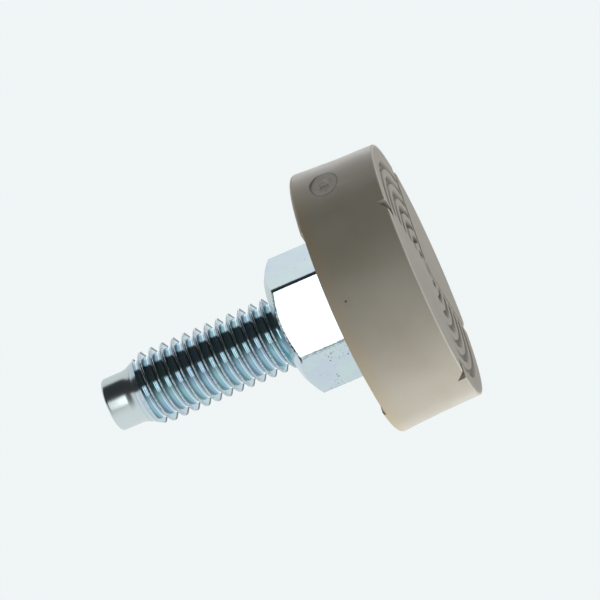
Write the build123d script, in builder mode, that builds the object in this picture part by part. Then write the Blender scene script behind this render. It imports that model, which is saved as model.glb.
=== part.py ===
from build123d import *
from math import asin, cos, degrees, pi, radians, sin, tan
import os

# Adjustable levelling foot: a threaded steel stud with a spanner hexagon, and a
# plastic base moulded round the anchor head of the stud.
# Millimetres. The origin is the centre of the sole, +Z runs up along the stud,
# and +Y is the side that a person with the spanner faces.

# Driving dimensions: the steel stud.
thread_radius = 3.95
thread_length = 16.1
thread_cone_length = 1.7
dog_radius = 2.85
dog_length = 2.1
dog_edge_round = 0.3
hex_across_flats = 12.9
hex_height = 6.6
hex_edge_round = 0.55
hex_chamfer_radius = 5.75
hex_chamfer_angle = 30.0
hex_turn = 4.2
hex_base_bevel = 0.5
neck_radius = 5.0
anchor_radius = 8.0
anchor_across_flats = 12.0
anchor_height = 2.5
anchor_level = 3.2

# Driving dimensions: the moulded base.
base_height = 9.0
sole_radius = 13.72
waist_level = 4.2
waist_radius = 13.83
flare_level = 7.4
flare_radius = 14.02
back_radius = 14.15
sole_rim_round = 0.25
back_rim_round = 0.45
anchor_play = 0.0

# Driving dimensions: the tread of the sole.
quarter_angle = 90.0
quarter_turn = 35.0
tread_step = 0.06
back_step = 0.3
back_step_width = 1.75
groove_count = 7
groove_first_radius = 1.7
groove_pitch = 1.62
groove_width = 0.85
groove_depth = 0.5
groove_draft = 24.0
groove_end_gap = 0.45
notch_width = 1.2
notch_depth = 0.95
notch_length = 1.8
pip_radius = 1.2
pip_depth = 0.32

# Driving dimensions: the gate mark on the side.
gate_turn = 58.0
gate_level = 5.4
gate_height = 3.0
gate_width = 4.3
gate_depth = 0.22
gate_nub_radius = 0.5
gate_nub_height = 0.14
gate_nub_draft = 20.0

# Sizes that follow from the ones above.
hex_bottom = base_height
hex_top = hex_bottom + hex_height
thread_top = hex_top + thread_length
dog_bottom = thread_top + thread_cone_length
stud_top = dog_bottom + dog_length
anchor_top = anchor_level + anchor_height
hex_corner_radius = hex_across_flats / (2 * cos(pi / 6))
hex_chamfer_drop = (hex_corner_radius - hex_chamfer_radius) * tan(radians(hex_chamfer_angle))
dog_edge_slant = dog_edge_round * (1 - sin(pi / 4))
sole_rim_slant = sole_rim_round * (1 - sin(pi / 4))
back_rim_slant = back_rim_round * (1 - sin(pi / 4))
cut_margin = 1.0
outer_reach = back_radius + cut_margin
plain_turns = [quarter_turn + k * 2 * quarter_angle for k in range(2)]
ribbed_turns = [turn + quarter_angle for turn in plain_turns]
near_turn = 90.0
hex_corner_turn = near_turn + hex_turn + 30.0
back_step_radius = back_radius - back_step_width
notch_start_radius = sole_radius - notch_length


def wall_radius(level):
    """Radius of the drafted side wall of the base at a level above the sole."""
    stations = [
        (0.0, sole_radius),
        (waist_level, waist_radius),
        (flare_level, flare_radius),
        (base_height, back_radius),
    ]
    for low, high in zip(stations[:-1], stations[1:]):
        if level <= high[0]:
            share = (level - low[0]) / (high[0] - low[0])
            return low[1] + share * (high[1] - low[1])
    return back_radius


def section_plane(turn):
    """Upright plane through the stud axis, turned anticlockwise from +X."""
    angle = radians(turn)
    return Plane(origin=(0, 0, 0), x_dir=(cos(angle), sin(angle), 0), z_dir=(sin(angle), -cos(angle), 0))


def radial_plane(turn, radius, level, side=1):
    """Plane that faces outwards at a turn and radius, its x axis running round the rim."""
    angle = radians(turn)
    return Plane(
        origin=(radius * cos(angle), radius * sin(angle), level),
        x_dir=(-side * sin(angle), side * cos(angle), 0),
        z_dir=(cos(angle), sin(angle), 0),
    )


def quarter_profile(sole_level, rim_level):
    """Half section of one quarter of the base, with both rim edges rounded.

    The back rim may stand below the back face, which then keeps a round step.
    """
    low = sole_level + sole_rim_round
    high = rim_level - back_rim_round
    sole_rim = wall_radius(low)
    back_rim = wall_radius(high)
    back_points = [(0, base_height)]
    if rim_level < base_height:
        back_points = [(back_step_radius, rim_level), (back_step_radius, base_height), (0, base_height)]
    with BuildLine() as outline:
        Polyline(
            (0, sole_level),
            (sole_rim - sole_rim_round, sole_level),
            (sole_rim - sole_rim_slant, sole_level + sole_rim_slant),
            (sole_rim, low),
            (waist_radius, waist_level),
            (flare_radius, flare_level),
            (back_rim, high),
            (back_rim - back_rim_slant, rim_level - back_rim_slant),
            (back_rim - back_rim_round, rim_level),
            *back_points,
            close=True,
        )
    make_face(outline.edges())


def add_anchor(grow, mode):
    """Flatted anchor head and neck of the stud, grown all round by a clearance."""
    with BuildSketch(Plane.XY.offset(anchor_level - grow)) as plate:
        Circle(anchor_radius + grow)
        Rectangle(2 * outer_reach, anchor_across_flats + 2 * grow, mode=Mode.INTERSECT)
    extrude(plate.sketch, amount=anchor_height + 2 * grow, mode=mode)
    with BuildSketch(Plane.XY.offset(anchor_top)) as collar:
        Circle(neck_radius + grow)
    extrude(collar.sketch, amount=hex_bottom - anchor_top, mode=mode)


gate_floor = wall_radius(gate_level) - gate_depth

# The stud: anchor head, neck, hexagon, threaded shank and dog point.
with BuildPart() as stud:
    add_anchor(0.0, Mode.ADD)
    # Hexagon with softened corners.
    with BuildSketch(Plane.XY.offset(hex_bottom)):
        RegularPolygon(hex_across_flats / 2, 6, major_radius=False, rotation=hex_corner_turn)
        fillet(vertices(), radius=hex_edge_round)
    extrude(amount=hex_height)
    # Turned chamfer round the thread side and a light bevel on the base side.
    with BuildSketch(Plane.XZ):
        with BuildLine():
            Polyline(
                (hex_chamfer_radius, hex_top),
                (hex_corner_radius + cut_margin, hex_top),
                (
                    hex_corner_radius + cut_margin,
                    hex_top - hex_chamfer_drop - cut_margin * tan(radians(hex_chamfer_angle)),
                ),
                close=True,
            )
        make_face()
        with BuildLine():
            Polyline(
                (hex_corner_radius - hex_base_bevel, hex_bottom),
                (hex_corner_radius + cut_margin, hex_bottom),
                (
                    hex_corner_radius + cut_margin,
                    hex_bottom + hex_base_bevel + cut_margin,
                ),
                close=True,
            )
        make_face()
    revolve(axis=Axis.Z, mode=Mode.SUBTRACT)
    # Shank at the crest diameter of the thread, cone and dog point.
    with BuildSketch(Plane.XZ):
        with BuildLine():
            Polyline(
                (0, hex_top),
                (thread_radius, hex_top),
                (thread_radius, thread_top),
                (dog_radius, dog_bottom),
                (dog_radius, stud_top - dog_edge_round),
                (dog_radius - dog_edge_slant, stud_top - dog_edge_slant),
                (dog_radius - dog_edge_round, stud_top),
                (0, stud_top),
                close=True,
            )
        make_face()
    revolve(axis=Axis.Z)

# The base: four quarters, plain and ribbed in turn, closed round the anchor.
with BuildPart() as base:
    for turn in plain_turns:
        with BuildSketch(section_plane(turn)):
            quarter_profile(0.0, base_height - back_step)
        revolve(axis=Axis.Z, revolution_arc=quarter_angle)
    for turn in ribbed_turns:
        with BuildSketch(section_plane(turn)):
            quarter_profile(tread_step, base_height)
        revolve(axis=Axis.Z, revolution_arc=quarter_angle)
    # Concentric round-ended grooves in the two ribbed quarters.
    for turn in ribbed_turns:
        for ring in range(groove_count):
            ring_radius = groove_first_radius + ring * groove_pitch
            end_angle = degrees(asin((groove_end_gap + groove_width / 2) / ring_radius))
            with BuildSketch(Plane.XY.offset(tread_step)):
                SlotArc(
                    CenterArc((0, 0), ring_radius, turn + end_angle, quarter_angle - 2 * end_angle),
                    groove_width,
                )
            extrude(amount=groove_depth, taper=groove_draft, mode=Mode.SUBTRACT)
    # One saw-toothed notch in the rim at each joint of two quarters.
    for turn in plain_turns:
        for edge_turn, side in ((turn, 1), (turn + quarter_angle, -1)):
            with BuildSketch(radial_plane(edge_turn, notch_start_radius, 0, side)):
                with BuildLine():
                    Polyline(
                        (0, side * notch_depth),
                        (0, -side * cut_margin),
                        (notch_width, -side * cut_margin),
                        (notch_width, 0),
                        close=True,
                    )
                make_face()
            extrude(amount=outer_reach - notch_start_radius, mode=Mode.SUBTRACT)
    # Shallow pip in the middle of the sole.
    with BuildSketch(Plane.XY):
        Circle(pip_radius)
    extrude(amount=pip_depth, mode=Mode.SUBTRACT)
    # Oval gate mark on the side wall, with its broken-off nub inside.
    with BuildSketch(radial_plane(near_turn + gate_turn, gate_floor, gate_level)):
        Ellipse(gate_width / 2, gate_height / 2)
    extrude(amount=outer_reach - gate_floor, mode=Mode.SUBTRACT)
    with BuildSketch(radial_plane(near_turn + gate_turn, gate_floor, gate_level)):
        Circle(gate_nub_radius)
    extrude(amount=gate_nub_height, taper=gate_nub_draft)
    # Seat of the anchor head and neck.
    add_anchor(anchor_play, Mode.SUBTRACT)

os.makedirs("parts", exist_ok=True)

stud.part.label = "stud"
export_step(stud.part, "parts/stud.step")

base.part.label = "base"
export_step(base.part, "parts/base.step")
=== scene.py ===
"""Looks of the adjustable levelling foot: a zinc-plated threaded stud in a moulded base."""

import logging
import math
from collections.abc import Iterator
from contextlib import contextmanager
from dataclasses import dataclass, field
from enum import Enum
from functools import reduce

import bpy
from mathutils import Matrix, Vector


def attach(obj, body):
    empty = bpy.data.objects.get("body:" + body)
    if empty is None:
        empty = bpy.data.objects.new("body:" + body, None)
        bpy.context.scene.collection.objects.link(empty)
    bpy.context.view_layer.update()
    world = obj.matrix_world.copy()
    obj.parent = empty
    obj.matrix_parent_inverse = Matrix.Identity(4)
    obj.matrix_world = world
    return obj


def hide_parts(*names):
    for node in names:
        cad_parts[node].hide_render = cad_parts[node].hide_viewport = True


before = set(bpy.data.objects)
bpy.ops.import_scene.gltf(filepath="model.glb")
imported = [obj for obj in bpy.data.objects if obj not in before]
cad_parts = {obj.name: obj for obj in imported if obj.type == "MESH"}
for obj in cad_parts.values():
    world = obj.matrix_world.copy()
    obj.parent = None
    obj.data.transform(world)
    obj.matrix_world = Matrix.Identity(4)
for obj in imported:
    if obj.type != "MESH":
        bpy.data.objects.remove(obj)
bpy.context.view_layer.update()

LOG = logging.getLogger("levelling_foot")
MM = 0.001
FULL_TURN = 2 * math.pi
TO_DEGREES = 180 / math.pi
UP = Vector((0, 0, 1))
WELD_GAP = 1e-7

# Sizes that a piece and its finish share, in millimetres and degrees.
THREAD_PITCH = 1.25
CREST_LEVEL = 13.785
HEX_TOP = 15.6
CHAMFER_RADIUS = 5.75
CHAMFER_ANGLE = 30.0
SOLE_RADIUS = 13.72
GATE_TURN = 148.0
GATE_LEVEL = 5.4

Point = tuple[float, float, float]
Span = tuple[float, float]
Levels = tuple[int, int, int]
Patch = tuple[Span, Span, Span, Span]
Body = bpy.types.Object
Socket = bpy.types.NodeSocket
Value = Socket | float | Levels


class Cut(Enum):
    """What a cutting body does to the piece that it meets."""

    AWAY = "DIFFERENCE"
    COMMON = "INTERSECT"


class Quarter(Enum):
    """The two kinds of quarter that alternate round the base."""

    PLAIN = 0
    RIBBED = 90


# Bench tools: drawing, turning and cutting meshes.


def deselect_all() -> None:
    """Leaves edit mode and clears the selection."""
    if bpy.context.object is not None and bpy.context.object.mode != "OBJECT":
        bpy.ops.object.mode_set(mode="OBJECT")
    bpy.ops.object.select_all(action="DESELECT")


def pick(obj: Body) -> None:
    """Makes one object the only selected and active one."""
    deselect_all()
    obj.select_set(True)
    bpy.context.view_layer.objects.active = obj


def settle(obj: Body) -> None:
    """Moves the object's place, turn and scale into its mesh."""
    pick(obj)
    bpy.ops.object.transform_apply(location=True, rotation=True, scale=True)


@contextmanager
def editing(obj: Body) -> Iterator[None]:
    """Opens the mesh of a piece with everything selected, and closes it afterwards.

    Args:
        obj: The piece.

    Yields:
        Nothing, while the mesh is open.
    """
    pick(obj)
    bpy.ops.object.mode_set(mode="EDIT")
    bpy.ops.mesh.select_mode(type="VERT")
    bpy.ops.mesh.select_all(action="SELECT")
    yield
    bpy.ops.object.mode_set(mode="OBJECT")


def draw_chain(name: str, points: list[Point]) -> Body:
    """Draws a chain of edges by extruding one vertex from point to point.

    Args:
        name: Name of the new object.
        points: Corners of the chain in millimetres.

    Returns:
        The object that holds the chain.
    """
    deselect_all()
    bpy.ops.mesh.primitive_plane_add(size=MM)
    obj = bpy.context.object
    obj.name = name
    with editing(obj):
        bpy.ops.mesh.merge(type="CENTER")
        here = Vector(points[0]) * MM
        bpy.ops.transform.translate(value=here)
        for point in points[1:]:
            step = Vector(point) * MM - here
            bpy.ops.mesh.extrude_region_move(TRANSFORM_OT_translate={"value": step})
            here = Vector(point) * MM
    return obj


def tidy_shell(obj: Body, gap: float = WELD_GAP) -> None:
    """Merges doubled vertices and points the faces outwards.

    Args:
        obj: The mesh to clean.
        gap: Largest distance between vertices that are merged, in metres.
    """
    with editing(obj):
        bpy.ops.mesh.remove_doubles(threshold=gap)
        bpy.ops.mesh.dissolve_degenerate(threshold=gap)
        bpy.ops.mesh.select_all(action="SELECT")
        bpy.ops.mesh.normals_make_consistent(inside=False)


def turn_profile(name: str, profile: list[Span], steps: int) -> Body:
    """Turns a half section round the stud axis into a closed body.

    Args:
        name: Name of the new object.
        profile: Radius and height pairs in millimetres, from axis to axis.
        steps: Number of steps in the full turn.

    Returns:
        The turned body.
    """
    obj = draw_chain(name, [(radius, 0.0, height) for radius, height in profile])
    with editing(obj):
        bpy.ops.mesh.spin(steps=steps, angle=FULL_TURN, center=(0, 0, 0), axis=UP)
    tidy_shell(obj)
    return obj


def arc_points(centre: Span, radius: float, start: float, end: float, steps: int) -> list[Span]:
    """Points on a circular arc.

    Args:
        centre: Centre of the arc.
        radius: Radius of the arc.
        start: First angle in degrees.
        end: Last angle in degrees.
        steps: Number of steps between the two angles.

    Returns:
        The points from the first angle to the last.
    """
    angles = [math.radians(start + (end - start) * k / steps) for k in range(steps + 1)]
    return [(centre[0] + radius * math.cos(a), centre[1] + radius * math.sin(a)) for a in angles]


def apply_modifier(obj: Body, modifier: bpy.types.Modifier) -> None:
    """Applies one modifier to the mesh."""
    pick(obj)
    bpy.ops.object.modifier_apply(modifier=modifier.name)


def machine(obj: Body, cutter: Body, cut: Cut) -> None:
    """Cuts a piece with another body, which is used up.

    Args:
        obj: The piece that stays.
        cutter: The body that cuts and is then removed.
        cut: What the cutter does.
    """
    modifier = obj.modifiers.new("machining", "BOOLEAN")
    modifier.operation = cut.value
    modifier.solver = "EXACT"
    modifier.object = cutter
    apply_modifier(obj, modifier)
    scrap(cutter)
    tidy_shell(obj)


def scrap(obj: Body) -> None:
    """Removes an object that has done its work."""
    mesh = obj.data
    bpy.data.objects.remove(obj, do_unlink=True)
    bpy.data.meshes.remove(mesh)


def weld(pieces: list[Body], name: str) -> Body:
    """Joins several shells into one object.

    Args:
        pieces: The shells, of which the first keeps its data.
        name: Name of the joined object.

    Returns:
        The joined object.
    """
    deselect_all()
    for piece in pieces:
        piece.select_set(True)
    bpy.context.view_layer.objects.active = pieces[0]
    bpy.ops.object.join()
    pieces[0].name = name
    return pieces[0]


def soften_edges(obj: Body, width: float, segments: int, angle: float) -> None:
    """Rounds every edge sharper than an angle.

    Args:
        obj: The piece to soften.
        width: Width of the rounding in millimetres.
        segments: Steps across the rounding.
        angle: Smallest edge angle that is rounded, in degrees.
    """
    modifier = obj.modifiers.new("soft_edges", "BEVEL")
    modifier.width = width * MM
    modifier.segments = segments
    modifier.limit_method = "ANGLE"
    modifier.angle_limit = math.radians(angle)
    modifier.use_clamp_overlap = True
    modifier.harden_normals = False
    apply_modifier(obj, modifier)


def smooth(obj: Body, angle: float) -> None:
    """Shades the piece smooth up to an edge angle in degrees."""
    pick(obj)
    bpy.ops.object.shade_smooth_by_angle(angle=math.radians(angle))


def grow(name: str, outline: list[Point], travel: Vector, stages: list[Span]) -> Body:
    """Grows a flat outline into a drafted body, stage by stage.

    Args:
        name: Name of the new object.
        outline: Corners of the outline in millimetres.
        travel: Unit direction in which the body grows.
        stages: For each stage the inset and the travel in millimetres.

    Returns:
        The body.
    """
    obj = draw_chain(name, [*outline, outline[0]])
    with editing(obj):
        bpy.ops.mesh.remove_doubles(threshold=WELD_GAP)
        bpy.ops.mesh.select_all(action="SELECT")
        bpy.ops.mesh.edge_face_add()
        bpy.ops.mesh.select_mode(type="FACE")
        bpy.ops.mesh.select_all(action="SELECT")
        step = travel * stages[0][1] * MM
        bpy.ops.mesh.extrude_region_move(TRANSFORM_OT_translate={"value": step})
        for inset, rise in stages[1:]:
            bpy.ops.mesh.inset(thickness=inset * MM, depth=0.0, use_even_offset=True)
            bpy.ops.transform.translate(value=travel * rise * MM)
    tidy_shell(obj)
    return obj


def polar(radius: float, turn: float, height: float) -> Point:
    """Point at a radius, a turn in degrees anticlockwise from +X, and a height."""
    angle = math.radians(turn)
    return (radius * math.cos(angle), radius * math.sin(angle), height)


def paint(obj: Body, material: bpy.types.Material) -> None:
    """Gives a piece one material."""
    obj.data.materials.clear()
    obj.data.materials.append(material)


# Finishes.


def metres(span: Span) -> Span:
    """Turns a span in millimetres into metres."""
    return (span[0] * MM, span[1] * MM)


def linear(red: int, green: int, blue: int) -> tuple[float, float, float, float]:
    """Turns display colour levels of 0 to 255 into the linear values of a shader.

    Args:
        red: Red level.
        green: Green level.
        blue: Blue level.

    Returns:
        Linear red, green, blue and full opacity.
    """
    values = []
    for level in (red, green, blue):
        share = level / 255
        values.append(share / 12.92 if share <= 0.04045 else ((share + 0.055) / 1.055) ** 2.4)
    return (values[0], values[1], values[2], 1.0)


class NodeBoard:
    """Node tree of a material or a world, with short calls for the nodes used here."""

    def __init__(self, owner: bpy.types.Material | bpy.types.World) -> None:
        """Clears the owner's tree and keeps its nodes and links."""
        owner.use_nodes = True
        self.nodes = owner.node_tree.nodes
        self.links = owner.node_tree.links
        self.nodes.clear()

    def add(self, kind: str, **values: object) -> bpy.types.Node:
        """Adds a node and sets its attributes.

        Args:
            kind: Blender's name of the node type.
            **values: Attributes to set on the node.

        Returns:
            The new node.
        """
        node = self.nodes.new(kind)
        for name, value in values.items():
            setattr(node, name, value)
        return node

    def join(self, source: Socket, target: Socket) -> None:
        """Links one socket to another."""
        self.links.new(source, target)

    def feed(self, value: Value, target: Socket) -> None:
        """Links a socket to an input, or sets the input to a number or to colour levels.

        Args:
            value: Socket, number or levels.
            target: The input.
        """
        if isinstance(value, Socket):
            self.join(value, target)
        else:
            target.default_value = linear(*value) if isinstance(value, tuple) else value

    def send(self, shader: bpy.types.Node, output: str = "ShaderNodeOutputMaterial") -> None:
        """Joins a shader to the output of the tree."""
        self.join(shader.outputs[0], self.add(output).inputs[0])

    def axes(self, place: Socket) -> list[Socket]:
        """Splits a place or a direction into its coordinates.

        Args:
            place: The place or direction.

        Returns:
            The three coordinates.
        """
        parts = self.add("ShaderNodeSeparateXYZ")
        self.join(place, parts.inputs[0])
        return list(parts.outputs)

    def math(self, operation: str, *inputs: Value) -> Socket:
        """Adds a math node on sockets or numbers.

        Args:
            operation: Blender's name of the operation.
            *inputs: Sockets or numbers in order.

        Returns:
            The value socket.
        """
        node = self.add("ShaderNodeMath", operation=operation)
        for index, value in enumerate(inputs):
            self.feed(value, node.inputs[index])
        return node.outputs[0]

    def times(self, first: Value, second: Value) -> Socket:
        """Product of two values."""
        return self.math("MULTIPLY", first, second)

    def scaled(self, value: Value, factor: Value, start: Value) -> Socket:
        """Value times a factor, added to a start."""
        return self.math("MULTIPLY_ADD", value, factor, start)

    def most(self, *values: Socket) -> Socket:
        """Largest of several values."""
        return reduce(lambda first, second: self.math("MAXIMUM", first, second), values)

    def ramp(self, value: Socket, low: float, high: float) -> Socket:
        """Smooth step of a value from 0 at the low end to 1 at the high end.

        Args:
            value: Socket that is read.
            low: Value that gives 0.
            high: Value that gives 1.

        Returns:
            The stepped value.
        """
        node = self.add("ShaderNodeMapRange", interpolation_type="SMOOTHSTEP")
        self.join(value, node.inputs["Value"])
        node.inputs["From Min"].default_value = low
        node.inputs["From Max"].default_value = high
        return node.outputs["Result"]

    def window(self, value: Socket, opens: Span, closes: Span) -> Socket:
        """Value that rises from 0 to 1 over one stretch and falls back over another.

        Args:
            value: Socket that is read.
            opens: Stretch over which the result rises.
            closes: Stretch over which the result falls.

        Returns:
            The window value.
        """
        return self.times(self.ramp(value, *opens), self.ramp(value, *closes[::-1]))

    def blend(self, share: Socket, first: Value, second: Value) -> Socket:
        """Mixes two colours, each a socket or colour levels.

        Args:
            share: How much of the second colour shows.
            first: Colour where the share is 0.
            second: Colour where the share is 1.

        Returns:
            The mixed colour.
        """
        node = self.add("ShaderNodeMix", data_type="RGBA")
        self.join(share, node.inputs[0])
        self.feed(first, node.inputs[6])
        self.feed(second, node.inputs[7])
        return node.outputs[2]

    def mix(
        self, share: Socket, first: bpy.types.Node, second: bpy.types.Node
    ) -> bpy.types.Node:
        """Mixes two shaders.

        Args:
            share: How much of the second shader shows.
            first: Shader where the share is 0.
            second: Shader where the share is 1.

        Returns:
            The mixing shader.
        """
        node = self.add("ShaderNodeMixShader")
        for socket, target in zip((share, first.outputs[0], second.outputs[0]), node.inputs):
            self.join(socket, target)
        return node


class FinishBoard(NodeBoard):
    """Node tree of a piece's finish, with the coordinates that the finish reads."""

    def __init__(self, name: str) -> None:
        """Starts a material and reads the place on the piece."""
        self.material = bpy.data.materials.new(name)
        super().__init__(self.material)
        self.place = self.add("ShaderNodeTexCoord").outputs["Object"]
        self.side, self.near, self.height = self.axes(self.place)
        squares = [self.times(part, part) for part in (self.side, self.near)]
        self.radius = self.math("SQRT", self.math("ADD", *squares))

    def noise(self, scale: float, detail: float, rough: float = 0.5, along: float = 1.0) -> Socket:
        """Procedural noise on the piece.

        Args:
            scale: Waves to the metre.
            detail: Octaves of finer noise.
            rough: Strength of the finer octaves.
            along: Factor on the scale along the stud.

        Returns:
            The noise value.
        """
        place = self.place
        if along != 1.0:
            drawn = self.add("ShaderNodeMapping")
            self.join(place, drawn.inputs["Vector"])
            drawn.inputs["Scale"].default_value = (1.0, 1.0, along)
            place = drawn.outputs[0]
        node = self.add("ShaderNodeTexNoise")
        for name, value in (("Vector", place), ("Scale", scale), ("Detail", detail)):
            self.feed(value, node.inputs[name])
        self.feed(rough, node.inputs["Roughness"])
        return node.outputs["Fac"]

    def spot(self, centre: Point, radius: float) -> Socket:
        """Small round mark at a place.

        Args:
            centre: Centre of the mark in millimetres.
            radius: Radius of the mark in millimetres.

        Returns:
            1 in the mark and 0 outside it.
        """
        node = self.add("ShaderNodeVectorMath", operation="DISTANCE")
        self.join(self.place, node.inputs[0])
        node.inputs[1].default_value = [value * MM for value in centre]
        return self.ramp(node.outputs["Value"], radius * 1.25 * MM, radius * 0.75 * MM)

    def bump(self, pattern: Socket, strength: Value, depth: float, under: Socket | None = None) -> Socket:
        """Tilts the shading by the slopes of a pattern.

        Args:
            pattern: Height pattern from 0 to 1.
            strength: Strength of the bump.
            depth: Height of the pattern in millimetres.
            under: Normal that the bump is laid over, if any.

        Returns:
            The tilted normal.
        """
        node = self.add("ShaderNodeBump")
        self.feed(strength, node.inputs["Strength"])
        node.inputs["Distance"].default_value = depth * MM
        self.join(pattern, node.inputs["Height"])
        if under is not None:
            self.join(under, node.inputs["Normal"])
        return node.outputs["Normal"]

    def coat(self, colour: Socket, rough: Socket, normal: Socket, metallic: float) -> bpy.types.Material:
        """Closes the tree with one surface shader.

        Args:
            colour: Colour of the surface.
            rough: Roughness of the surface.
            normal: Normal of the surface.
            metallic: 1 for metal and 0 for plastic.

        Returns:
            The material.
        """
        shader = self.add("ShaderNodeBsdfPrincipled")
        shader.inputs["Metallic"].default_value = metallic
        for name, value in (("Base Color", colour), ("Roughness", rough), ("Normal", normal)):
            self.join(value, shader.inputs[name])
        self.send(shader)
        return self.material


@dataclass(frozen=True)
class BrightZinc:
    """Bright, slightly blue zinc plating with rubbed crests and small pits, painted dark lines along the
    edges, a painted dark reflection on the flanks and a painted highlight in the roots.

    Colours are display levels, places and spans are millimetres, and the spans of the crest,
    the flank and the root are shares of a pitch, 0 on the crest.
    """

    slot: str = "zinc_steel"
    plate: Levels = (206, 222, 234)
    film: Levels = (208, 229, 230)
    groove_plate: Levels = (195, 221, 235)
    groove_film: Levels = (194, 226, 231)
    bare: Levels = (214, 227, 228)
    rubbed_crest_and_rim_highlight: Levels = (226, 208, 222)
    rubbed_green: Levels = (206, 226, 218)
    # Colour of the pits and of the painted dark edge lines.
    pit_and_edge_shade: Levels = (64, 70, 74)
    # Colour of dull spots on the crests and of the painted dark reflection on the flanks.
    dull_crest_and_flank_reflection: Levels = (74, 88, 100)
    # Colour of the painted highlight in the roots.
    root_highlight: Levels = (226, 235, 244)
    roughness: float = 0.1
    crest_level: float = CREST_LEVEL
    pitch: float = THREAD_PITCH
    thread_start: Span = (15.5, 15.7)
    thread_end: Span = (31.0, 32.0)
    thread_reach: Span = (4.3, 4.1)
    bare_span: Span = (31.4, 33.0)
    crest_opens: Span = (-0.2, -0.12)
    crest_closes: Span = (0.08, 0.16)
    flank_opens: Span = (0.03, 0.1)
    flank_closes: Span = (0.2, 0.34)
    root_span: Span = (0.43, 0.47)
    upper_side: Span = (-1.6, -2.6)
    hexagon_start: Span = (8.8, 9.2)
    hexagon_end: Span = (15.4, 15.7)
    hexagon_chamfer: Point = (HEX_TOP, CHAMFER_RADIUS, CHAMFER_ANGLE)
    line_opens: Span = (0.0, 0.02)
    line_closes: Span = (0.17, 0.25)
    near_flat: Span = (6.02, 6.2)
    pitted_side: Span = (3.2, 4.4)
    pitted_height: Span = (14.2, 12.6)
    mark_place: Point = (1.15, 6.2, 13.3)

    def make(self) -> bpy.types.Material:
        """Builds the plating material.

        Returns:
            The material.
        """
        board = FinishBoard("bright_zinc")
        groove = board.window(board.height, metres(self.thread_start), metres(self.thread_end))
        groove = board.times(groove, board.ramp(board.radius, *metres(self.thread_reach)))
        worn_dog_and_rim_highlight = board.ramp(board.height, *metres(self.bare_span))
        phase = self.thread_phase(board)
        crest = board.times(board.window(phase, self.crest_opens, self.crest_closes), groove)
        # Clouded plating, bluer in the thread, thinner and greyer on the dog point.
        cloud = board.ramp(board.noise(330.0, 4.0), 0.38, 0.62)
        metal = board.blend(cloud, self.plate, self.film)
        metal = board.blend(groove, metal, board.blend(cloud, self.groove_plate, self.groove_film))
        metal = board.blend(worn_dog_and_rim_highlight, metal, self.bare)
        metal = self.thread_wear(board, metal, phase, crest, groove)
        # Painted dark, broken lines along the edges of the hexagon and its chamfer, in place of the dark
        # reflections in their roundings.
        edge = board.add("ShaderNodeAttribute", attribute_name="painted_edge_shade").outputs["Fac"]
        broken = board.ramp(board.noise(2600.0, 3.0, 0.7), 0.4, 0.6)
        edge = board.times(edge, board.times(broken, 0.35))
        arc = board.times(self.chamfer_line(board), board.scaled(broken, 0.5, 0.5))
        pits_and_edge_shade = board.most(edge, arc, self.pitting(board))
        rough = board.scaled(board.noise(900.0, 3.0), 0.08, self.roughness)
        for share, change in ((crest, 0.06), (worn_dog_and_rim_highlight, 0.08), (groove, -0.03), (pits_and_edge_shade, 0.3)):
            rough = board.scaled(share, change, rough)
        # Fine grain everywhere, scuffs along the dog point and rough, glittering crests.
        normal = board.bump(board.noise(4200.0, 3.0, 0.6), 0.12, 0.01)
        scuffs = board.noise(2600.0, 3.0, 0.6, along=0.22)
        normal = board.bump(scuffs, board.times(worn_dog_and_rim_highlight, 0.4), 0.008, normal)
        normal = board.bump(board.noise(7200.0, 1.0), board.times(crest, 0.9), 0.012, normal)
        # Real pits and the painted dark edge lines share one dark colour.
        return board.coat(board.blend(pits_and_edge_shade, metal, self.pit_and_edge_shade), rough, normal, 1.0)

    def thread_wear(
        self, board: FinishBoard, metal: Socket, phase: Socket, crest: Socket, groove: Socket
    ) -> Socket:
        """Rubbed and speckled crests, a painted dark reflection on the flank towards the tip and a
        painted highlight in the roots.

        Args:
            board: Node tree of the material.
            metal: Colour of the plating.
            phase: Place across one pitch.
            crest: 1 on the crests.
            groove: 1 in the thread.

        Returns:
            The colour of the thread with its wear, painted dark reflection and painted highlight.
        """
        # Painted dark reflection on the flank towards the tip, stronger towards -X; the same dark colour
        # marks dull spots on the crests below.
        flank = board.times(board.window(phase, self.flank_opens, self.flank_closes), groove)
        upper = board.scaled(board.ramp(board.side, *metres(self.upper_side)), 0.35, 0.6)
        metal = board.blend(board.times(flank, upper), metal, self.dull_crest_and_flank_reflection)
        # Painted highlight along the roots, in place of their bright reflection.
        root = board.times(board.ramp(board.math("ABSOLUTE", phase), *self.root_span), groove)
        metal = board.blend(root, metal, self.root_highlight)
        grain = board.noise(6500.0, 1.0)
        dull = board.times(crest, board.ramp(grain, 0.52, 0.42))
        metal = board.blend(board.times(dull, 0.4), metal, self.dull_crest_and_flank_reflection)
        hue = board.ramp(board.noise(3100.0, 1.0), 0.42, 0.58)
        tint = board.blend(hue, self.rubbed_crest_and_rim_highlight, self.rubbed_green)
        bright = board.times(crest, board.ramp(grain, 0.46, 0.6))
        return board.blend(board.times(bright, 0.75), metal, tint)

    def chamfer_line(self, board: FinishBoard) -> Socket:
        """Painted dark line, in place of a dark reflection, where the near hexagon flat meets the turned
        chamfer.

        Args:
            board: Node tree of the material.

        Returns:
            How much of the line shows.
        """
        top, chamfer_radius, slope = self.hexagon_chamfer
        reach = board.math("SUBTRACT", board.radius, chamfer_radius * MM)
        edge_level = board.scaled(reach, -math.tan(math.radians(slope)), top * MM)
        below = board.math("SUBTRACT", edge_level, board.height)
        line = board.window(below, metres(self.line_opens), metres(self.line_closes))
        return board.times(line, board.ramp(board.near, *metres(self.near_flat)))

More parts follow.
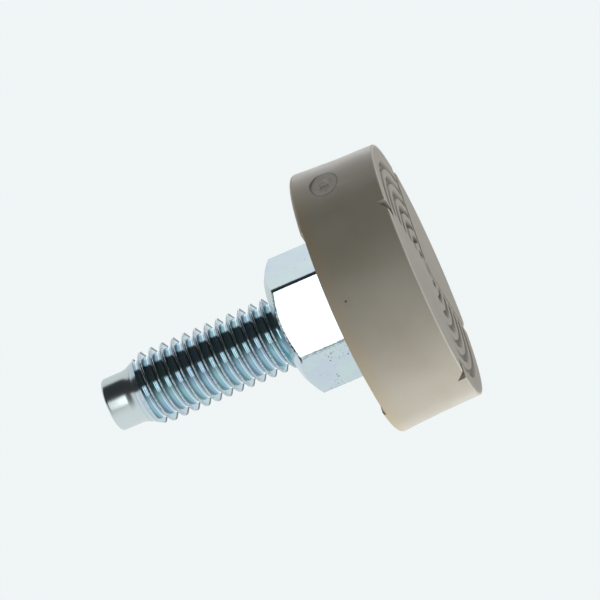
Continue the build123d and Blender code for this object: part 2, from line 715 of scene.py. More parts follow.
    def thread_phase(self, board: FinishBoard) -> Socket:
        """Place across one pitch of the thread.

        Args:
            board: Node tree of the material.

        Returns:
            0 on the crest, rising to 0.5 in the root towards the tip.
        """
        turn = board.math("DIVIDE", board.math("ARCTAN2", board.near, board.side), FULL_TURN)
        level = board.math("SUBTRACT", board.height, self.crest_level * MM)
        climb = board.math("SUBTRACT", board.math("DIVIDE", level, self.pitch * MM), turn)
        return board.math("WRAP", climb, 0.5, -0.5)

    def pitting(self, board: FinishBoard) -> Socket:
        """Small pits, thickest on the hexagon flat that lay downwards.

        Args:
            board: Node tree of the material.

        Returns:
            How much of the pit colour shows.
        """
        hexagon = board.window(board.height, metres(self.hexagon_start), metres(self.hexagon_end))
        lower = board.times(hexagon, board.ramp(board.side, *metres(self.pitted_side)))
        lower = board.times(lower, board.ramp(board.height, *metres(self.pitted_height)))
        scatter = board.noise(2500.0, 3.0, 0.65, along=1.7)
        patch = board.ramp(board.noise(420.0, 1.0), 0.4, 0.52)
        many = board.times(board.times(board.ramp(scatter, 0.615, 0.66), patch), lower)
        few = board.times(board.ramp(scatter, 0.7, 0.73), hexagon)
        return board.most(many, few, board.spot(self.mark_place, 0.13))


@dataclass(frozen=True)
class WarmGreyPlastic:
    """Satin warm-grey moulded plastic, browner towards the back rim as a painted glow through the thin
    plastic, with a painted highlight on the sole's rim and painted shade in the gate mark and, with dust,
    in the grooves.

    Colours are display levels, and places and spans are millimetres.
    """

    slot: str = "grey_plastic"
    body: Levels = (178, 173, 158)
    shade: Levels = (171, 165, 149)
    # Colour of the painted glow of light through the thin back rim.
    rim: Levels = (180, 169, 146)
    scuff: Levels = (206, 203, 194)
    # Colour of the painted highlight on the rim of the sole.
    rubbed_crest_and_rim_highlight: Levels = (232, 228, 216)
    torn: Levels = (206, 202, 192)
    # Colour of the painted shade in the gate mark.
    gate_shade: Levels = (92, 88, 80)
    # Colour of the dust on the sole, also the painted shade in the bottoms of the grooves.
    dust_and_groove_shade: Levels = (84, 75, 60)
    fleck: Levels = (60, 56, 50)
    roughness: float = 0.27
    rim_glow_span: Span = (6.9, 8.5)
    rim_highlight_reach: Span = (SOLE_RADIUS - 0.3, SOLE_RADIUS - 0.2)
    rim_highlight_height: Span = (0.16, 0.08)
    dust_and_shade_reach: Span = (SOLE_RADIUS - 0.3, SOLE_RADIUS - 0.7)
    dust_and_shade_height: Span = (1.3, 0.9)
    groove_height: Span = (0.1, 0.42)
    gate_turn: float = GATE_TURN
    gate_radius: float = 13.9
    gate_level: float = GATE_LEVEL
    gate_half: Span = (2.08, 1.44)
    gate_side: Span = (12.0, 12.4)
    fleck_place: Point = (-0.26, 14.0, 7.13)

    def make(self) -> bpy.types.Material:
        """Builds the plastic material.

        Returns:
            The material.
        """
        board = FinishBoard("warm_grey_plastic")
        height, radius = board.height, board.radius
        cloud = board.ramp(board.noise(150.0, 4.0), 0.35, 0.65)
        tinted = board.blend(cloud, self.body, self.shade)
        # Painted brown glow of light through the thin back rim, with a wandering lower edge.
        wander = board.scaled(board.noise(500.0, 3.0), 1.2 * MM, -0.6 * MM)
        level = board.math("ADD", height, wander)
        back = board.ramp(level, *metres(self.rim_glow_span))
        tinted = board.blend(back, tinted, self.rim)
        scuffs = board.ramp(board.noise(900.0, 4.0, 0.7), 0.66, 0.74)
        tinted = board.blend(board.times(scuffs, 0.25), tinted, self.scuff)
        # Painted highlight along the rounded rim of the sole, broken by noise.
        edge = board.ramp(radius, *metres(self.rim_highlight_reach))
        edge = board.times(edge, board.ramp(height, *metres(self.rim_highlight_height)))
        worn_dog_and_rim_highlight = board.scaled(board.noise(900.0, 2.0), 0.7, 0.4)
        tinted = board.blend(board.times(edge, worn_dog_and_rim_highlight), tinted, self.rubbed_crest_and_rim_highlight)
        tinted = self.gate_mark(board, tinted)
        # Dust dulls the sole, and dust with painted shade darkens the bottoms of the grooves.
        sole = board.ramp(radius, *metres(self.dust_and_shade_reach))
        sole = board.times(sole, board.ramp(height, *metres(self.dust_and_shade_height)))
        depth = board.ramp(height, *metres(self.groove_height))
        dust_and_groove_shade = board.times(sole, board.scaled(depth, 0.45, 0.12))
        tinted = board.blend(dust_and_groove_shade, tinted, self.dust_and_groove_shade)
        colour = board.blend(board.spot(self.fleck_place, 0.11), tinted, self.fleck)
        rough = board.scaled(board.noise(500.0, 3.0), 0.12, self.roughness)
        return board.coat(colour, rough, board.bump(board.noise(1100.0, 4.0), 0.15, 0.03), 0.0)

    def gate_mark(self, board: FinishBoard, under: Socket) -> Socket:
        """Painted shade in the ring and the hollow of the gate mark and round its nub, and torn, pale
        plastic in its middle.

        Args:
            board: Node tree of the material.
            under: Colour of the plastic under the mark.

        Returns:
            The colour with the mark.
        """
        angle = math.radians(self.gate_turn)
        half_width, half_height = self.gate_half
        side, near = board.side, board.near
        around = board.times(side, -math.sin(angle) / (half_width * MM))
        around = board.scaled(near, math.cos(angle) / (half_width * MM), around)
        along = board.math("SUBTRACT", board.height, self.gate_level * MM)
        along = board.math("DIVIDE", along, half_height * MM)
        outward = board.times(side, math.cos(angle))
        outward = board.scaled(near, math.sin(angle), outward)
        facing = board.ramp(outward, *metres(self.gate_side))
        square = board.times(along, along)
        reach = board.math("SQRT", board.scaled(around, around, square))
        wander = board.scaled(board.noise(1500.0, 3.0), 0.12, -0.06)
        reach = board.math("ADD", reach, wander)
        # The dark ring, the darker inside and the dark patches round the nub are painted shade.
        ring = board.times(board.window(reach, (0.88, 0.94), (0.99, 1.05)), 0.6)
        inside = board.times(board.ramp(reach, 1.0, 0.94), 0.1)
        nub_shadows = board.ramp(board.noise(2200.0, 3.0, 0.7), 0.5, 0.66)
        nub_shadows = board.times(board.times(nub_shadows, 0.35), board.ramp(reach, 0.95, 0.5))
        mark = board.times(board.most(ring, board.math("ADD", inside, nub_shadows)), facing)
        gate_shaded = board.blend(mark, under, self.gate_shade)
        middle = polar(self.gate_radius, self.gate_turn, self.gate_level)
        pale = board.times(board.spot(middle, 0.5), 0.85)
        return board.blend(pale, gate_shaded, self.torn)


# Sub-assemblies.


@dataclass
class ThreadedStud:
    """The one-piece stud: anchor head, neck, hexagon, thread, cone and dog point."""

    pitch: float = THREAD_PITCH
    crest_radius: float = 3.95
    thread_depth: float = 0.73
    crest_side: tuple[Span, ...] = ((0.06, 0.01), (0.1, 0.045), (0.123, 0.0816))
    root_side: tuple[Span, ...] = ((0.152, 0.1056), (0.118, 0.0526), (0.06, 0.006))
    crest_level: float = CREST_LEVEL
    turns: int = 17
    thread_steps: int = 96
    thread_sink: float = 0.3
    thread_clearance: float = 0.2
    cone_lead: float = 0.35
    cone_start: float = 30.8
    cone_end: float = 32.7
    dog_radius: float = 2.85
    dog_round: float = 0.32
    dog_root: float = 0.9
    dog_fillet: tuple[Span, ...] = (
        (0.33, -0.52),
        (0.18, -0.2),
        (0.08, 0.06),
        (0.02, 0.35),
        (0.0, 0.6),
    )
    tip_level: float = 35.5
    hex_bottom: float = 9.0
    hex_top: float = HEX_TOP
    hex_flats: float = 12.9
    hex_turn: float = 94.2
    hex_edge_round: float = 0.47
    hex_base_bevel: float = 0.5
    hex_margin: float = 0.2
    flat_share: float = 0.3
    chamfer_radius: float = CHAMFER_RADIUS
    chamfer_angle: float = CHAMFER_ANGLE
    chamfer_round: float = 0.12
    neck_radius: float = 5.0
    anchor_radius: float = 8.0
    anchor_flats: float = 12.0
    anchor_bottom: float = 3.2
    anchor_top: float = 5.7
    finish: BrightZinc = field(default_factory=BrightZinc)

    def thread_form(self) -> list[Point]:
        """Half section of one pitch of the thread, from root to root."""
        crest = self.crest_radius
        root = crest - self.thread_depth
        half = self.pitch / 2
        # The two inner points of each flank keep it flat.
        flank = [(offset, crest - drop) for offset, drop in self.crest_side]
        flank += [(half - offset, root + rise) for offset, rise in self.root_side]
        form = [(-half, root)]
        form += [(-offset, radius) for offset, radius in reversed(flank)]
        form += [(0.0, crest), *flank, (half, root)]
        return [(radius, 0.0, self.crest_level + offset) for offset, radius in form]

    def make_thread(self) -> Body:
        """Winds the thread form up the shank and turns its end to a cone.

        Returns:
            The threaded shank.
        """
        obj = draw_chain("threaded_shank", self.thread_form())
        winding = obj.modifiers.new("winding", "SCREW")
        winding.axis = "Z"
        winding.angle = FULL_TURN
        winding.screw_offset = self.pitch * MM
        winding.iterations = self.turns
        winding.steps = self.thread_steps
        winding.render_steps = self.thread_steps
        apply_modifier(obj, winding)
        tidy_shell(obj, 2 * WELD_GAP)
        others = ("wire", "multi_face", "non_contiguous", "verts")
        with editing(obj):
            bpy.ops.mesh.select_all(action="DESELECT")
            bpy.ops.mesh.select_non_manifold(extend=False, **{f"use_{kind}": False for kind in others})
            bpy.ops.mesh.fill_holes(sides=0)
            bpy.ops.mesh.select_all(action="SELECT")
            bpy.ops.mesh.normals_make_consistent(inside=False)
        bottom = self.hex_top - self.thread_sink
        wide = self.crest_radius + self.thread_clearance
        envelope = turn_profile(
            "shank_envelope",
            [
                (0.0, bottom),
                (wide, bottom),
                (wide, self.cone_start - self.cone_lead),
                (self.dog_radius, self.cone_end),
                (0.0, self.cone_end),
            ],
            self.thread_steps,
        )
        machine(obj, envelope, Cut.COMMON)
        return obj

    def make_dog(self) -> Body:
        """Turns the dog point, with a fillet towards the cone.

        Returns:
            The dog point.
        """
        rounding = arc_points(
            (self.dog_radius - self.dog_round, self.tip_level - self.dog_round),
            self.dog_round,
            0.0,
            90.0,
            6,
        )
        return turn_profile(
            "dog_point",
            [
                (0.0, self.cone_end - self.dog_root),
                *[(self.dog_radius + out, self.cone_end + rise) for out, rise in self.dog_fillet],
                *rounding,
                (0.0, self.tip_level),
            ],
            self.thread_steps,
        )

    def make_hexagon(self) -> Body:
        """Forges the hexagon, rounds its corners and turns its chamfers.

        Returns:
            The hexagon.
        """
        corner = self.hex_flats / (2 * math.cos(math.pi / 6))
        deselect_all()
        bpy.ops.mesh.primitive_cylinder_add(
            vertices=6,
            radius=corner * MM,
            depth=(self.hex_top - self.hex_bottom + 2 * self.hex_margin) * MM,
            location=(0, 0, (self.hex_top + self.hex_bottom) / 2 * MM),
            rotation=(0, 0, math.radians(self.hex_turn)),
        )
        obj = bpy.context.object
        obj.name = "spanner_hexagon"
        settle(obj)
        with editing(obj):
            bpy.ops.mesh.select_mode(type="EDGE")
            bpy.ops.mesh.select_all(action="DESELECT")
        for edge in obj.data.edges:
            ends = [obj.data.vertices[v].co for v in edge.vertices]
            edge.select = abs(ends[0].z - ends[1].z) > MM
        bpy.ops.object.mode_set(mode="EDIT")
        reach = self.hex_edge_round * math.tan(math.radians(30))
        bpy.ops.mesh.bevel(offset=reach * MM, segments=6, affect="EDGES")
        bpy.ops.object.mode_set(mode="OBJECT")
        margin = 1.0
        wide = corner + margin
        drop = (wide - self.chamfer_radius) * math.tan(math.radians(self.chamfer_angle))
        lens = turn_profile(
            "hexagon_lens",
            [
                (0.0, self.hex_bottom),
                (corner - self.hex_base_bevel, self.hex_bottom),
                (wide, self.hex_bottom + self.hex_base_bevel + margin),
                (wide, self.hex_top - drop),
                (self.chamfer_radius, self.hex_top),
                (0.0, self.hex_top),
            ],
            128,
        )
        machine(obj, lens, Cut.COMMON)
        soften_edges(obj, self.chamfer_round, 5, 24.0)
        self.mark_edges(obj)
        smooth(obj, 35.0)
        largest = max(face.area for face in obj.data.polygons)
        for face in obj.data.polygons:
            face.use_smooth = face.area < self.flat_share * largest
        return obj

    def mark_edges(self, obj: Body) -> None:
        """Marks the rounded edges of the hexagon, where the finish paints dark lines in place of
        reflections.

        Args:
            obj: The hexagon.
        """
        edge_shade = obj.data.attributes.new("painted_edge_shade", "FLOAT", "FACE")
        for face in obj.data.polygons:
            normal = face.normal
            turn = math.degrees(math.atan2(normal.y, normal.x)) - self.hex_turn
            off_flat = abs((turn + 30.0) % 60.0 - 30.0)
            rise = math.degrees(math.asin(max(-1.0, min(1.0, normal.z))))
            # A few degrees are let pass for the facets of the rounding.
            flat = off_flat < 2.0 and abs(rise) < 2.0
            turned = abs(rise - 90.0 + self.chamfer_angle) < 4.0 or abs(rise) > 80.0
            edge_shade.data[face.index].value = 0.0 if flat or turned else 1.0

    def make_anchor(self) -> Body:
        """Turns the neck and the anchor head and mills its two flats.

        Returns:
            The hidden anchor of the stud.
        """
        obj = turn_profile(
            "anchor_head",
            [
                (0.0, self.anchor_bottom),
                (self.anchor_radius, self.anchor_bottom),
                (self.anchor_radius, self.anchor_top),
                (self.neck_radius, self.anchor_top),
                (self.neck_radius, self.hex_bottom),
                (0.0, self.hex_bottom),
            ],
            self.thread_steps,
        )
        for side in (1, -1):
            flat = (0, side * self.anchor_flats / 2 * MM, 0)
            with editing(obj):
                bpy.ops.mesh.bisect(plane_co=flat, plane_no=(0, side, 0), use_fill=True, clear_outer=True)
        tidy_shell(obj)
        smooth(obj, 35.0)
        return obj

    def build(self) -> Body:
        """Builds and dresses the stud.

        Returns:
            The finished stud.
        """
        thread = self.make_thread()
        smooth(thread, 34.0)
        dog = self.make_dog()
        smooth(dog, 40.0)
        hexagon = self.make_hexagon()
        anchor = self.make_anchor()
        stud = weld([thread, dog, hexagon, anchor], "stud_visual")
        paint(stud, self.finish.make())
        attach(stud, "root")
        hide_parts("stud")
        return stud


@dataclass
class MouldedBase:
    """The round moulded base with its quartered tread."""

    height: float = 9.0
    sole_radius: float = SOLE_RADIUS
    waist: Span = (13.83, 4.2)
    flare: Span = (14.02, 7.4)
    back_radius: float = 14.15
    sole_rim_round: float = 0.25
    back_rim_round: float = 0.45
    quarter_turn: float = 35.0
    tread_step: float = 0.06
    back_step: float = 0.3
    back_step_width: float = 1.75
    groove_count: int = 7
    groove_first_radius: float = 1.7
    groove_pitch: float = 1.62
    groove_width: float = 0.85
    groove_depth: float = 0.5
    groove_draft: float = 24.0
    mouth_round: float = 0.07
    groove_end_gap: float = 0.45
    notch_width: float = 1.2
    notch_depth: float = 0.95
    notch_length: float = 1.8
    notch_lap: float = 0.015
    pip_radius: float = 1.2
    pip_depth: float = 0.32
    pip_mouth: Span = (0.06, 0.03)
    pip_draft: float = 0.45
    gate_turn: float = GATE_TURN
    gate_level: float = GATE_LEVEL
    gate_height: float = 3.0
    gate_width: float = 4.3
    gate_depth: float = 0.12
    nub_radius: float = 0.62
    nub_sink: float = 0.3
    nub_grain: float = 0.32
    nub_tearing: float = 0.45
    nub_middle: float = 0.6
    steps: int = 216
    sector_steps: int = 30
    small_steps: int = 48
    cut_lead: float = 0.3
    cut_margin: float = 1.0
    cut_reach: float = 16.0
    finish: WarmGreyPlastic = field(default_factory=WarmGreyPlastic)

    def wall_radius(self, level: float) -> float:
        """Radius of the side wall at a level in millimetres."""
        stations = [
            (self.sole_radius, 0.0),
            self.waist,
            self.flare,
            (self.back_radius, self.height),
        ]
        for low, high in zip(stations[:-1], stations[1:]):
            if level <= high[1]:
                share = (level - low[1]) / (high[1] - low[1])
                return low[0] + share * (high[0] - low[0])
        return self.back_radius

    def quarters(self, kind: Quarter) -> list[float]:
        """Turns at which the two quarters of a kind begin."""
        return [self.quarter_turn + kind.value + 180.0 * k for k in range(2)]

    def make_blank(self) -> Body:
        """Turns the plain blank with rounded rims.

        Returns:
            The blank.
        """
        low = self.sole_rim_round
        high = self.height - self.back_rim_round
        sole_rim = self.wall_radius(low)
        back_rim = self.wall_radius(high)
        return turn_profile(
            "moulded_base",
            [
                (0.0, 0.0),
                *arc_points((sole_rim - low, low), low, -90.0, 0.0, 7),
                (self.waist[0], self.waist[1]),
                (self.flare[0], self.flare[1]),
                *arc_points(
                    (back_rim - self.back_rim_round, high), self.back_rim_round, 0.0, 90.0, 7
                ),
                (0.0, self.height),
            ],
            self.steps,
        )

    def sector(self, turn: float, inner: float, low: float, high: float) -> Body:
        """Makes a quarter of a ring as a cutting body.

        Args:
            turn: Turn at which the quarter begins.
            inner: Inner radius, or 0 for a full quarter.
            low: Lower level.
            high: Upper level.

        Returns:
            The cutting body.
        """
        turns = [turn + 90.0 * k / self.sector_steps for k in range(self.sector_steps + 1)]
        rim = [polar(self.cut_reach, step, low) for step in turns]
        hub = [polar(inner, step, low) for step in reversed(turns)] if inner else [(0.0, 0.0, low)]
        return grow("quarter_cutter", [*rim, *hub], UP, [(0.0, high - low)])

    def groove_cutter(self, turn: float, ring: int) -> Body:
        """Makes the cutting body of one round-ended groove.

        Args:
            turn: Turn at which the ribbed quarter begins.
            ring: Number of the groove, counted from the middle.

        Returns:
            The cutting body.
        """
        radius = self.groove_first_radius + ring * self.groove_pitch
        middle = self.groove_width / 2
        half = middle + self.mouth_round
        start = turn + math.degrees(math.asin((self.groove_end_gap + middle) / radius))
        end = 2 * turn + 90.0 - start
        steps = 4 + 3 * ring
        shares = [k / steps for k in range(steps + 1)]
        level = self.tread_step - self.cut_lead
        wall = self.groove_depth - 2 * self.mouth_round
        lean = wall * math.tan(math.radians(self.groove_draft))
        round_step = self.mouth_round * math.sin(math.pi / 4)
        rest = self.mouth_round - round_step
        outline = [polar(radius + half, start + (end - start) * k, level) for k in shares]
        outline += self.end_cap(radius, end, half, level, 0.0)
        outline += [polar(radius - half, end - (end - start) * k, level) for k in shares]
        outline += self.end_cap(radius, start, half, level, 180.0)
        mouth = [(round_step, rest), (rest, round_step)]
        stages = [(0.0, self.cut_lead), *mouth, (lean, wall), *reversed(mouth)]
        return grow("groove_cutter", outline, UP, stages)

    def end_cap(
        self, radius: float, turn: float, half: float, level: float, flip: float
    ) -> list[Point]:
        """Inner points of the half circle that ends a groove.

        Args:
            radius: Radius of the groove's middle line.
            turn: Turn of the end.
            half: Half the groove's width.
            level: Level of the outline.
            flip: 0 for the end and 180 for the start of the groove.

        Returns:
            The points between the two sides of the groove.
        """
        centre = polar(radius, turn, level)
        arc = arc_points(centre[:2], half, turn + flip, turn + flip + 180.0, 6)
        return [(side, near, level) for side, near in arc[1:-1]]

    def notch_cutter(self, turn: float, side: int) -> Body:
        """Makes the saw-toothed cutter of one rim notch.

        Args:
            turn: Turn of the joint between two quarters.
            side: 1 where the plain quarter lies anticlockwise, else -1.

        Returns:
            The cutting body.
        """
        start = self.sole_radius - self.notch_length
        outward = Vector(polar(1.0, turn, 0.0))
        around = Vector(polar(float(side), turn + 90.0, 0.0))
        # The steep side laps a little past the joint.
        corners = [
            (-self.notch_lap, self.notch_depth),
            (-self.notch_lap, -self.cut_margin),
            (self.notch_width, -self.cut_margin),
            (self.notch_width, 0.0),
        ]
        points = [tuple(outward * start + around * x + UP * z) for x, z in corners]
        stages = [(0.0, self.notch_length + 2 * self.cut_margin)]
        return grow("notch_cutter", points, outward, stages)

    def pip_cutter(self) -> Body:
        """Turns the cutter of the shallow, drafted pip in the middle of the sole.

        Returns:
            The cutting body.
        """
        mouth, mouth_depth = self.pip_mouth
        return turn_profile(
            "pip_cutter",
            [
                (0.0, -self.cut_margin),
                (self.pip_radius + mouth, -self.cut_margin),
                (self.pip_radius + mouth, 0.0),
                (self.pip_radius, mouth_depth),
                (self.pip_radius - self.pip_draft, self.pip_depth),
                (0.0, self.pip_depth),
            ],
            self.small_steps,
        )

    def gate_cutter(self) -> Body:
        """Makes the cutter of the oval gate mark.

        Returns:
            The cutting body.
        """
        floor = self.wall_radius(self.gate_level) - self.gate_depth
        outward = Vector(polar(1.0, self.gate_turn, 0.0))
        around = Vector(polar(1.0, self.gate_turn + 90.0, 0.0))
        middle = outward * floor + UP * self.gate_level
        angles = [FULL_TURN * k / self.small_steps for k in range(self.small_steps)]
        wide, tall = around * self.gate_width / 2, UP * self.gate_height / 2
        outline = [tuple(middle + wide * math.cos(a) + tall * math.sin(a)) for a in angles]
        return grow("gate_cutter", outline, outward, [(0.0, 1.5 * self.cut_margin)])

    def make_nub(self) -> Body:
        """Makes the torn nub inside the gate mark.

        Returns:
            The nub.
        """
        floor = self.wall_radius(self.gate_level) - self.gate_depth
        deselect_all()
        bpy.ops.mesh.primitive_ico_sphere_add(
            subdivisions=4,
            radius=self.nub_radius * MM,
            location=Vector(polar(floor - self.nub_sink, self.gate_turn, self.gate_level)) * MM,
        )
        obj = bpy.context.object
        obj.name = "gate_nub"
        settle(obj)
        torn = bpy.data.textures.new("torn_plastic", "CLOUDS")
        torn.noise_scale = self.nub_grain * MM
        torn.noise_depth = 3
        modifier = obj.modifiers.new("tearing", "DISPLACE")
        modifier.texture = torn
        modifier.texture_coords = "LOCAL"
        modifier.strength = self.nub_tearing * MM
        modifier.mid_level = self.nub_middle
        apply_modifier(obj, modifier)
        smooth(obj, 50.0)
        return obj

    def build(self) -> Body:
        """Builds and dresses the base.

        Returns:
            The finished base.
        """
        base = self.make_blank()
        # The pip is cut first, so that the quarters don't meet in a point.
        machine(base, self.pip_cutter(), Cut.AWAY)
        for turn in self.quarters(Quarter.RIBBED):
            tread = self.sector(turn, 0.0, -self.cut_margin, self.tread_step)
            machine(base, tread, Cut.AWAY)
        for turn in self.quarters(Quarter.PLAIN):
            ledge = self.sector(
                turn,
                self.back_radius - self.back_step_width,
                self.height - self.back_step,
                self.height + self.cut_margin,
            )
            machine(base, ledge, Cut.AWAY)
        for turn in self.quarters(Quarter.RIBBED):
            for ring in range(self.groove_count):
                machine(base, self.groove_cutter(turn, ring), Cut.AWAY)
        for turn in self.quarters(Quarter.PLAIN):
            machine(base, self.notch_cutter(turn, 1), Cut.AWAY)
            machine(base, self.notch_cutter(turn + 90.0, -1), Cut.AWAY)
        machine(base, self.gate_cutter(), Cut.AWAY)
        smooth(base, 48.0)
        # The big flat faces keep their own normal, so that they shade flat up to their edges.
        weighting = base.modifiers.new("face_weighting", "WEIGHTED_NORMAL")
        weighting.keep_sharp = True
        weighting.weight = 90
        apply_modifier(base, weighting)
        base = weld([base, self.make_nub()], "base_visual")
        paint(base, self.finish.make())
        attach(base, "root")
        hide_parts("base")
        return base


# Studio.


class TentBoard(NodeBoard):
    """Node tree of the light tent, with the turn and the rise of a direction in degrees."""

    def __init__(self, world: bpy.types.World) -> None:
        """Clears the tree and reads the direction that is looked in."""
        super().__init__(world)
        across, ahead, up = self.axes(self.add("ShaderNodeTexCoord").outputs["Generated"])
        self.turn = self.times(self.math("ARCTAN2", across, ahead), TO_DEGREES)
        self.rise = self.times(self.math("ARCSINE", up), TO_DEGREES)

    def patch(self, edges: Patch) -> Socket:
        """Gives 1 inside a patch and 0 outside it."""
        left, right, bottom, top = edges
        return self.times(self.window(self.turn, left, right), self.window(self.rise, bottom, top))


@dataclass
class Studio:
    """Pale floor, light tent and camera.

    Turns run from +Y towards +X, and rises run up from the floor. A patch of the tent has a
    soft left, right, lower and upper edge.
    """

    backdrop: Levels = (240, 245, 246)
    opening: Patch = ((-102.0, -92.0), (-23.0, -17.0), (-89.0, -76.0), (76.0, 87.0))
    above: Patch = ((-60.0, -24.0), (-6.0, 66.0), (19.5, 22.0), (48.0, 62.0))
    below: Patch = ((-60.0, -24.0), (-6.0, 64.0), (-14.0, -6.0), (1.0, 4.0))
    far_below: Patch = ((-60.0, -24.0), (-6.0, 64.0), (-89.0, -75.0), (-14.0, -6.0))
    gap: Patch = ((20.5, 22.5), (26.0, 28.0), (9.0, 11.0), (15.0, 18.0))
    wide_gap: Patch = ((20.0, 22.0), (48.0, 54.0), (5.5, 6.5), (9.4, 10.0))
    panel: Patch = ((-19.0, -16.0), (20.0, 22.0), (3.0, 5.5), (9.6, 10.4))
    soft_panel: Patch = ((-21.0, -11.0), (4.0, 27.0), (11.3, 11.9), (16.5, 20.0))
    right_strip: Patch = ((134.0, 150.0), (158.0, 168.0), (-3.0, 0.0), (5.0, 8.0))
    left_strip: Patch = ((-168.0, -158.0), (-150.0, -126.0), (-3.0, 0.0), (5.0, 8.0))
    left_wall: Span = (-60.0, -100.0)
    upper_left: tuple[Span, Span] = ((9.4, 10.6), (55.0, 75.0))
    ground_right: Span = (150.0, 166.0)
    ground_left: Span = (-150.0, -166.0)
    ground_rise: tuple[Span, Span] = ((-13.0, -9.0), (-3.0, 0.0))
    opening_share: float = 0.94
    far_share: float = 0.8
    darkness: float = 0.96
    panel_light: float = 1.8
    wall_light: float = 0.84
    left_light: float = 0.06
    upper_left_light: float = -0.17
    strip_light: float = 1.15
    right_strip_share: float = 0.55
    ground_light: float = -0.7
    lamp_turn: float = 91.0
    lamp_rise: float = 5.0
    lamp_away: float = 0.32
    lamp_aim: Point = (0.0, 0.0, 0.006)
    lamp_power: float = 0.48
    lamp_size: float = 0.16
    floor_reach: float = 1.6
    floor_gap: float = 0.00002
    floor_fade: Span = (0.05, 0.28)
    lens: float = 156.0
    sensor: float = 36.0
    clip: Span = (0.01, 20.0)
    distance: float = 262.0
    sole_place: Span = (428.2, 268.7)
    axis_turn: float = -23.5
    axis_tilt: float = 8.55
    frame_pixels: float = 600.0

    def make_floor(self) -> Body:
        """Lays the floor, which shows and takes shadows from above only.

        Returns:
            The floor.
        """
        deselect_all()
        bpy.ops.mesh.primitive_circle_add(
            vertices=96, radius=self.floor_reach, fill_type="NGON", location=(0, 0, -self.floor_gap)
        )
        floor = bpy.context.object
        floor.name = "floor"
        settle(floor)
        board = FinishBoard("pale_floor")
        rays = board.add("ShaderNodeLightPath").outputs["Is Camera Ray"]
        below = board.add("ShaderNodeNewGeometry").outputs["Backfacing"]
        seen = board.times(rays, board.math("SUBTRACT", 1.0, below))
        diffuse = board.add("ShaderNodeBsdfDiffuse")
        glow = board.add("ShaderNodeEmission")
        for shader in (diffuse, glow):
            board.feed(self.backdrop, shader.inputs["Color"])
        lit = board.mix(board.ramp(board.radius, *self.floor_fade), diffuse, glow)
        board.send(board.mix(seen, board.add("ShaderNodeBsdfTransparent"), lit))
        paint(floor, board.material)
        return floor

    def make_tent(self) -> None:
        """Lights the foot with a bright tent that has a dark opening on one side."""
        world = bpy.data.worlds.new("light_tent")
        bpy.context.scene.world = world
        board = TentBoard(world)
        panel = board.math("ADD", board.patch(self.panel), board.patch(self.soft_panel))
        level = board.scaled(panel, self.panel_light, self.walls(board))
        shade = board.scaled(self.dark_parts(board), -self.darkness, 1.0)
        tent = board.add("ShaderNodeBackground")
        tent.inputs["Color"].default_value = (1.0, 1.0, 1.0, 1.0)
        board.join(board.times(level, shade), tent.inputs["Strength"])
        plain = board.add("ShaderNodeBackground")
        board.feed(self.backdrop, plain.inputs["Color"])
        rays = board.add("ShaderNodeLightPath").outputs["Is Camera Ray"]
        board.send(board.mix(rays, tent, plain), "ShaderNodeOutputWorld")

    def dark_parts(self, board: TentBoard) -> Socket:
        """Dark room to the left of the camera, above and below it, and gaps in the tent.

        Args:
            board: Node tree of the world.

        Returns:
            How dark each direction is.
        """
        below = board.scaled(board.patch(self.far_below), self.far_share, board.patch(self.below))
        front = board.times(board.most(board.patch(self.above), below), self.opening_share)
        opening, gap, wide_gap = [board.patch(p) for p in (self.opening, self.gap, self.wide_gap)]
        return board.most(opening, front, gap, wide_gap)

    def walls(self, board: TentBoard) -> Socket:
        """Walls of the tent, brighter on the left and lit from behind the foot.

        Args:
            board: Node tree of the world.

        Returns:
            The brightness of the walls.
        """
        left = board.ramp(board.turn, *self.left_wall)
        wall = board.scaled(left, self.left_light, self.wall_light)
        # The upper part of the left wall is dimmer than the part below it.
        upper_left = board.times(left, board.window(board.rise, *self.upper_left))
        wall = board.scaled(upper_left, self.upper_left_light, wall)
        # Bright strips behind the foot, which light the ends of its outline.
        right_strip = board.patch(self.right_strip)
        strips = board.scaled(right_strip, self.right_strip_share, board.patch(self.left_strip))
        wall = board.scaled(strips, self.strip_light, wall)
        # The ground far behind the foot is dimmer.
        sides = [board.ramp(board.turn, *span) for span in (self.ground_right, self.ground_left)]
        ground = board.times(board.math("ADD", *sides), board.window(board.rise, *self.ground_rise))
        return board.scaled(ground, self.ground_light, wall)

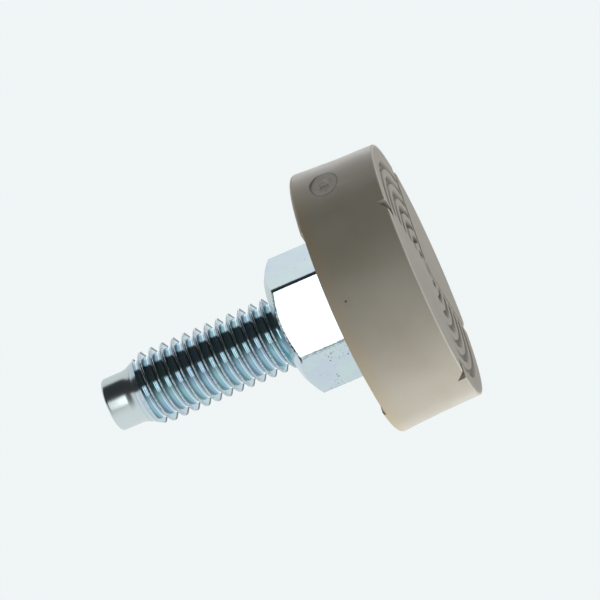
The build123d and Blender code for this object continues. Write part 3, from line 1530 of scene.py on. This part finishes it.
    def make_lamp(self) -> None:
        """Hangs one soft lamp beside the foot."""
        rise = math.radians(self.lamp_rise)
        level = self.lamp_away * math.sin(rise)
        place = Vector(polar(self.lamp_away * math.cos(rise), 90.0 - self.lamp_turn, level))
        deselect_all()
        bpy.ops.object.light_add(type="AREA", location=place)
        lamp = bpy.context.object
        lamp.name = "side_lamp"
        lamp.data.energy = self.lamp_power
        lamp.data.shape = "DISK"
        lamp.data.size = self.lamp_size
        lamp.visible_glossy = False
        aim = Vector(self.lamp_aim) - place
        lamp.rotation_euler = aim.to_track_quat("-Z", "Y").to_euler()

    def make_camera(self) -> Body:
        """Sets the camera where the photograph was taken from.

        Returns:
            The camera.
        """
        focal = self.lens / self.sensor * self.frame_pixels
        middle = self.frame_pixels / 2
        tilt = math.radians(self.axis_tilt)
        # Picture axes are right, down and forward; the stud runs against sole_way.
        sole_way = Vector(polar(math.cos(tilt), self.axis_turn, -math.sin(tilt)))
        sole = Vector([*[(value - middle) / focal for value in self.sole_place], 1.0])
        sole *= self.distance * MM
        back = -sole.normalized()
        near = (back - back.dot(sole_way) * sole_way).normalized()
        stud_way = -sole_way
        right = near.cross(stud_way)
        turned = Matrix((right, near, stud_way)).transposed()
        camera_place = -(turned.transposed() @ sole)
        axes = [turned[0].copy(), -turned[1].copy(), -turned[2].copy()]
        world = Matrix(axes).transposed().to_4x4()
        world.translation = camera_place
        deselect_all()
        bpy.ops.object.camera_add()
        camera = bpy.context.object
        camera.name = "photograph_camera"
        camera.matrix_world = world
        camera.data.lens = self.lens
        camera.data.sensor_width = self.sensor
        camera.data.clip_start, camera.data.clip_end = self.clip
        bpy.context.scene.camera = camera
        return camera

    def build(self) -> None:
        """Sets up the floor, the light and the camera."""
        self.make_floor()
        self.make_tent()
        self.make_lamp()
        self.make_camera()
        bpy.context.scene.view_settings.view_transform = "Standard"


def main() -> None:
    """Builds the stud, the base and the studio in order."""
    logging.basicConfig(level=logging.INFO, format="%(name)s: %(message)s")
    for label, maker in (("stud", ThreadedStud()), ("base", MouldedBase())):
        piece = maker.build()
        LOG.info("%s: %d faces", label, len(piece.data.polygons))
    Studio().build()
    LOG.info("studio ready")


if __name__ == "__main__":
    main()
